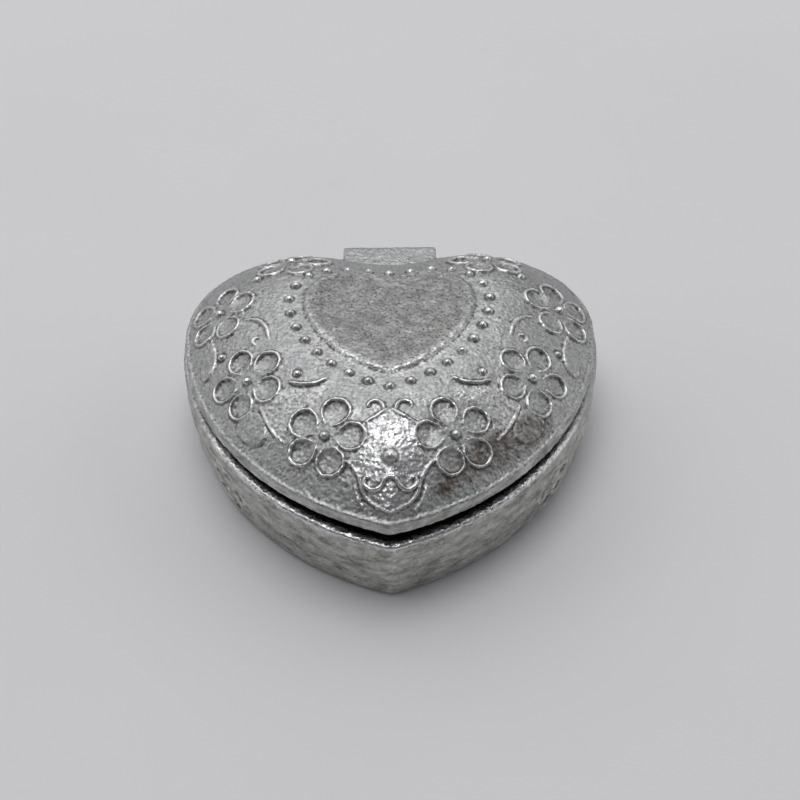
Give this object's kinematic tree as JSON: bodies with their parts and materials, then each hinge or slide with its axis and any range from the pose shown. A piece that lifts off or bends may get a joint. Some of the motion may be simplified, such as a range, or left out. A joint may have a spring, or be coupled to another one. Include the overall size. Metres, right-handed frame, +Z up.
{
  "type": "heart-shaped trinket box",
  "caption": "Small cast-metal trinket box shaped like a heart, with a domed lid in raised flowers, beads and a heart panel, hinged at the back.",
  "frame": {"origin": "middle of the bounding box on the plane the box stands on", "axes": "+X to the right across the two lobes, +Y from the tip to the hinge, +Z up"},
  "size_m": [0.0768, 0.0754, 0.0286],
  "materials": {
    "cast_metal": "as-cast and filed, dark in the hollows, worn bright on the high points",
    "pin_steel": "drawn wire"
  },
  "bodies": {
    "base": {"base": "cast_metal", "hinge_pin": "pin_steel"},
    "lid": {"lid": "cast_metal"}
  },
  "joints": [
    {"name": "lid_hinge", "type": "hinge", "parent": "base", "child": "lid", "pos_m": [0, 0.0356, 0.015], "axis": [-1, 0, 0], "range_deg": [0, 100]}
  ]
}
